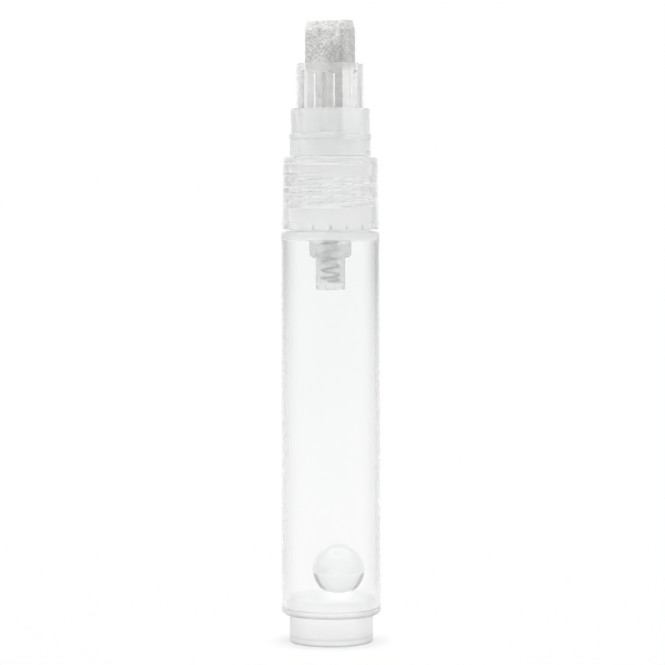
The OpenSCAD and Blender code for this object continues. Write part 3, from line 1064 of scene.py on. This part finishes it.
def make_nib():
    """Felt block with bevelled tip, its surface broken up into small tufts."""
    mesh_data = felt_grid()
    for vertex in mesh_data.verts:
        point = vertex.co.copy()
        bevel = max(0.0, point.z - (z_nib_top - BEVEL_H)) / BEVEL_H
        vertex.co.y *= 1 - bevel * BEVEL_DEPTH / nib_half_t
        exposed = smooth((point.z - z_sleeve_top + EXPOSED_START) / EXPOSED_RISE)
        tuft = noise.noise(point * TUFT_WAVES) + SMALL_TUFT_SHARE * noise.noise(point * SMALL_TUFT_WAVES)
        inward = Vector((vertex.co.x / nib_half_w, vertex.co.y / nib_half_t, 0))
        sunk = inward * FELT_ROUGH * (TUFT_SINK + TUFT_SWING * tuft)
        vertex.co -= sunk * (HELD_ROUGH + (1 - HELD_ROUGH) * exposed)
        if point.z > z_nib_top - TIP_LAYER:
            vertex.co.z -= FELT_ROUGH * (TIP_SINK + TIP_SWING * tuft)
    add_fibres(mesh_data)
    piece = new_object("nib_felt_block", mesh_data, "nib", nib_felt)
    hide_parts("nib")


# Spring, cage and plunger

SPRING_R = 1.85
SPRING_WIRE_R = 0.3
SPRING_TURNS = 4
SPRING_END_PITCH = 0.8
SPRING_GAP = 0.04
SPRING_START = math.radians(290)
SPRING_RINGS = 28
SPRING_SIDES = 12
SLOPE_STEP = 0.01


def spring_height(turn):
    """Height of the wire's centre after some turns: a close turn at each end, an even pitch between them."""
    low = z_spring + SPRING_GAP + SPRING_WIRE_R
    rise = z_spring_top - z_spring - 2 * (SPRING_GAP + SPRING_WIRE_R)
    pitch = (rise - 2 * SPRING_END_PITCH) / SPRING_TURNS
    ends = min(turn, 1) + max(0, turn - SPRING_TURNS - 1)
    return low + ends * SPRING_END_PITCH + min(max(turn - 1, 0), SPRING_TURNS) * pitch


def make_spring():
    """One unbroken wire, wound right-handed."""
    mesh_data = bmesh.new()
    rings = []
    count = (SPRING_TURNS + 2) * SPRING_RINGS
    for step in range(count + 1):
        turn = step / SPRING_RINGS
        angle = SPRING_START + TAU * turn
        outward = Vector((math.cos(angle), math.sin(angle), 0))
        centre = outward * SPRING_R + Vector((0, 0, spring_height(turn)))
        rise = (spring_height(turn + SLOPE_STEP) - spring_height(turn - SLOPE_STEP)) / (2 * SLOPE_STEP)
        along = Vector((-outward.y, outward.x, rise / (TAU * SPRING_R))).normalized()
        upward = outward.cross(along)
        ring = []
        for side in range(SPRING_SIDES):
            angle = TAU * side / SPRING_SIDES
            arm = math.cos(angle) * outward + math.sin(angle) * upward
            ring.append(mesh_data.verts.new(centre + SPRING_WIRE_R * arm))
        rings.append(ring)
    for low, high in zip(rings, rings[1:]):
        bridge(mesh_data, low, high)
    mesh_data.faces.new(rings[0])
    mesh_data.faces.new(reversed(rings[-1]))
    piece = new_object("spring_coil", mesh_data, "valve_head", steel)
    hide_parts("valve_spring")
    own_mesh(piece)


def make_cage():
    """Cup below the valve tube, with a drain in its floor."""
    cup_r = tube_bore_r - CAGE_STEP
    bore_r = cup_r - CAGE_WALL
    z_step = z_tube - FIT_GAP
    z_cup_floor = z_cage + CAGE_FLOOR_T
    outline = rounded([
        (DRAIN_R, z_cage, SMALL_EASE),
        (cup_r, z_cage, WIDE_EASE),
        (cup_r, z_step, FINE_EASE),
        (tube_bore_r, z_step, FINE_EASE),
        (tube_bore_r, z_cage_top, SOFT_EASE),
        (bore_r, z_cage_top, SMALL_EASE),
        (bore_r, z_cup_floor, SOFT_EASE),
        (DRAIN_R, z_cup_floor, SMALL_EASE),
    ])
    piece = new_object("cage_cup", turned(outline), "valve_head", cage_milky)
    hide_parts("valve_cage")


def dress_node(node, material):
    """Gives a CAD node that stays its own material and smooth shading."""
    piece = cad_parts[node]
    piece.data.materials.clear()
    piece.data.materials.append(material)
    piece.data.shade_smooth()
    piece.data.set_sharp_from_angle(angle=SHARP_ANGLE)


make_barrel()
make_plug()
make_ball()
make_valve_head()
make_gasket()
make_seal()
make_collar()
make_sleeve()
make_nib()
make_spring()
make_cage()
dress_node("valve_plunger", plunger_milky)


# Stage: floor, surrounding light and camera

CAMERA_TURN = math.radians(35.5)
ASIDE = (math.cos(CAMERA_TURN), math.sin(CAMERA_TURN), 0)
AWAY = (-math.sin(CAMERA_TURN), math.cos(CAMERA_TURN), 0)
UP = (0, 0, 1)

# Greys of the floor, flags and cards, and what is added overhead, as shares of white
FLAG_GREY = 0.8
LOW_FLAG = 0.42
HIGH_FLAG = 0.05
DEEP_FLAG = 0.1
CARD_SHARE = 0.9
MIDDLE_CARD = (0.06, 0.25)
NEAR_GREY = 0.11
RIGHT_FLAG = 1.25
OVERHEAD = 1.2
LIGHT_SLOPE = 0.1

# Floor: its size, and the spans over which its greys and its shadow change, in metres or as directions
FLOOR_R = 6000.0
FLOOR_SEGMENTS = 96
FLOOR_SIDES = (0.1, 0.5)
FLOOR_RIGHT = (-0.2, 0.2)
FLOOR_BEHIND = (0.0, 0.3)
NEAR_FLOOR = (0.02, 0.12)
FAR_FLOOR = (0.2, 3.0)
UNDER_FOOT = (0.015, 0.0095)
FLOOR_MATT = 0.5
FOOT_MORE_MATT = 0.4
FLOOR_GLOW = 0.468
FOOT_LESS_GLOW = 0.427

# Flags and cards of the world, as spans of direction or of ray depth
FLAG_SIDES = (0.45, 0.7)
FLAG_LOW_TO_HIGH = (0.02, 0.15)
FLAG_TOP = (0.9, 0.75)
FLAG_OUTER = (0.97, 0.77)
FLAG_BEHIND = (0.0, 0.3)
FLAG_DEPTH = (4.5, 7.5)
CARD_SIDES = (0.3, 0.55)
CARD_INNER = (0.84, 0.6)
CARD_MIDDLE = (0.99, 0.75)
CARD_FOOT = (0.0, 0.12)
CARD_TOP = (0.8, 0.65)
CARD_BEHIND = (-0.1, 0.1)
CARD_DEPTH = (4.5, 5.5)
OVERHEAD_SPAN = (0.7, 0.95)
SCATTERED = 0.5


def reach_along(tree, vector, direction):
    """Reach of a vector in a direction."""
    dot = tree.nodes.new("ShaderNodeVectorMath")
    dot.operation = "DOT_PRODUCT"
    dot.inputs[1].default_value = direction
    tree.links.new(vector, dot.inputs[0])
    return dot.outputs["Value"]


def unseen(tree, path):
    """0 for rays from the camera, otherwise 1."""
    return calculate(tree, "SUBTRACT", 1.0, path["Is Camera Ray"])


def floor_level(tree):
    """1 for what the camera sees of the floor; for all other rays, greyer behind on both sides."""
    path = tree.nodes.new("ShaderNodeLightPath").outputs
    place = tree.nodes.new("ShaderNodeTexCoord")
    way = tree.nodes.new("ShaderNodeVectorMath")
    way.operation = "NORMALIZE"
    tree.links.new(place.outputs["Object"], way.inputs[0])
    rightward = reach_along(tree, way.outputs["Vector"], ASIDE)
    behind = reach_along(tree, way.outputs["Vector"], AWAY)
    sideways = calculate(tree, "ABSOLUTE", rightward)
    distance = axis_distance(tree)
    far_grey = FLAG_GREY * LOW_FLAG - NEAR_GREY
    grey = total(tree, ramp(tree, distance, *NEAR_FLOOR, high=NEAR_GREY),
                 ramp(tree, distance, *FAR_FLOOR, high=far_grey))
    grey = product(tree, ramp(tree, sideways, *FLOOR_SIDES),
                   ramp(tree, rightward, *FLOOR_RIGHT, low=1.0, high=RIGHT_FLAG),
                   ramp(tree, behind, *FLOOR_BEHIND), grey, unseen(tree, path))
    return calculate(tree, "SUBTRACT", 1.0, grey)


def make_floor():
    """Round white floor that keeps the object's soft shadow, strongest close to the foot."""
    mesh_data = bmesh.new()
    bmesh.ops.create_circle(mesh_data, cap_ends=True, segments=FLOOR_SEGMENTS, radius=FLOOR_R)
    mesh = bpy.data.meshes.new("floor")
    bmesh.ops.scale(mesh_data, vec=(MM, MM, MM), verts=mesh_data.verts)
    mesh_data.to_mesh(mesh)
    mesh_data.free()
    floor = bpy.data.objects.new("floor", mesh)
    bpy.context.scene.collection.objects.link(floor)
    material, tree, principled = shader("floor_white")
    tree.nodes.remove(principled)
    diffuse = tree.nodes.new("ShaderNodeBsdfDiffuse")
    glow = tree.nodes.new("ShaderNodeEmission")
    level = floor_level(tree)
    near = ramp(tree, axis_distance(tree), *UNDER_FOOT)
    matt_share = total(tree, FLOOR_MATT, product(tree, near, FOOT_MORE_MATT))
    glow_share = calculate(tree, "SUBTRACT", FLOOR_GLOW, product(tree, near, FOOT_LESS_GLOW))
    tree.links.new(product(tree, level, matt_share), diffuse.inputs["Color"])
    tree.links.new(product(tree, level, glow_share), glow.inputs["Strength"])
    both = tree.nodes.new("ShaderNodeAddShader")
    tree.links.new(diffuse.outputs["BSDF"], both.inputs[0])
    tree.links.new(glow.outputs["Emission"], both.inputs[1])
    tree.links.new(both.outputs["Shader"], tree.nodes["Material Output"].inputs["Surface"])
    mesh.materials.append(material)


def flags_and_cards(tree, place, path):
    """Share of grey in the studio: flags at both sides, and cards behind that only deep rays meet."""
    sideways = calculate(tree, "ABSOLUTE", reach_along(tree, place, ASIDE))
    behind = reach_along(tree, place, AWAY)
    height = reach_along(tree, place, UP)
    depth = path["Ray Depth"]
    flag = product(
        tree, ramp(tree, sideways, *FLAG_SIDES),
        ramp(tree, height, *FLAG_LOW_TO_HIGH, low=LOW_FLAG, high=HIGH_FLAG),
        ramp(tree, height, *FLAG_TOP), ramp(tree, sideways, *FLAG_OUTER), ramp(tree, behind, *FLAG_BEHIND),
        ramp(tree, depth, *FLAG_DEPTH, low=1.0, high=DEEP_FLAG))
    card = product(tree, ramp(tree, sideways, *CARD_SIDES), ramp(tree, behind, *CARD_INNER, high=CARD_SHARE))
    card = calculate(tree, "MAXIMUM", card, ramp(tree, behind, *CARD_MIDDLE, *MIDDLE_CARD))
    card = product(
        tree, card, ramp(tree, height, *CARD_FOOT), ramp(tree, height, *CARD_TOP),
        ramp(tree, behind, *CARD_BEHIND), ramp(tree, depth, *CARD_DEPTH))
    return calculate(tree, "MAXIMUM", flag, card)


def make_world():
    """White studio, a little brighter overhead, with grey flags and cards for refracted light."""
    world = bpy.data.worlds.new("studio")
    bpy.context.scene.world = world
    world.use_nodes = True
    tree = world.node_tree
    background = tree.nodes["Background"]
    background.inputs["Color"].default_value = (1, 1, 1, 1)
    path = tree.nodes.new("ShaderNodeLightPath").outputs
    shown = path["Is Camera Ray"]
    for name in ("Is Glossy Ray", "Is Transmission Ray"):
        shown = calculate(tree, "MAXIMUM", shown, path[name])
    place = tree.nodes.new("ShaderNodeTexCoord").outputs["Generated"]
    height = reach_along(tree, place, UP)
    fresh = calculate(tree, "LESS_THAN", path["Diffuse Depth"], SCATTERED)
    fresh = product(tree, fresh, unseen(tree, path))
    grey = product(tree, flags_and_cards(tree, place, path), fresh, FLAG_GREY)
    refracted = calculate(tree, "SUBTRACT", 1.0, grey)
    refracted = total(tree, refracted, ramp(tree, height, *OVERHEAD_SPAN, high=OVERHEAD))
    lighting = total(tree, 1.0, product(tree, height, LIGHT_SLOPE))
    choose = tree.nodes.new("ShaderNodeMix")
    choose.data_type = "FLOAT"
    for index, value in zip(MIX_NUMBERS_IN, (shown, lighting, refracted)):
        tree.links.new(value, choose.inputs[index])
    tree.links.new(choose.outputs[0], background.inputs["Strength"])


CAMERA_DISTANCE = 590.0
CAMERA_HEIGHT = 96.36
CAMERA_DIP = math.radians(2.91)
CAMERA_SIDE = 0.39
CAMERA_ROLL = math.radians(-0.13)
SENSOR_WIDTH = 36.0
FOCAL_PIXELS = 2762.0
IMAGE_PIXELS = 665.0
CLIP_START = 0.05
CLIP_END = 50.0


def make_camera():
    """Long lens a little above the middle of the marker, looking slightly down."""
    camera_data = bpy.data.cameras.new("camera")
    camera_data.sensor_width = SENSOR_WIDTH
    camera_data.lens = FOCAL_PIXELS / IMAGE_PIXELS * SENSOR_WIDTH
    camera_data.clip_start = CLIP_START
    camera_data.clip_end = CLIP_END
    camera = bpy.data.objects.new("camera", camera_data)
    bpy.context.scene.collection.objects.link(camera)
    right = Vector(ASIDE)
    away = Vector(AWAY)
    camera.location = (right * CAMERA_SIDE - away * CAMERA_DISTANCE + Vector((0, 0, CAMERA_HEIGHT))) * MM
    look = away * math.cos(CAMERA_DIP) - Vector((0, 0, math.sin(CAMERA_DIP)))
    camera.rotation_mode = "QUATERNION"
    camera.rotation_quaternion = look.to_track_quat("-Z", "Y") @ Quaternion(UP, CAMERA_ROLL)
    bpy.context.scene.camera = camera


make_floor()
make_world()
make_camera()

CLEAR_BOUNCES = 64
DIFFUSE_BOUNCES = 32
TRANSPARENT_BOUNCES = 16

scene = bpy.context.scene
scene.view_settings.view_transform = "Standard"
scene.cycles.blur_glossy = 0.0
scene.cycles.max_bounces = CLEAR_BOUNCES
scene.cycles.diffuse_bounces = DIFFUSE_BOUNCES
scene.cycles.transmission_bounces = CLEAR_BOUNCES
scene.cycles.glossy_bounces = CLEAR_BOUNCES
scene.cycles.transparent_max_bounces = TRANSPARENT_BOUNCES
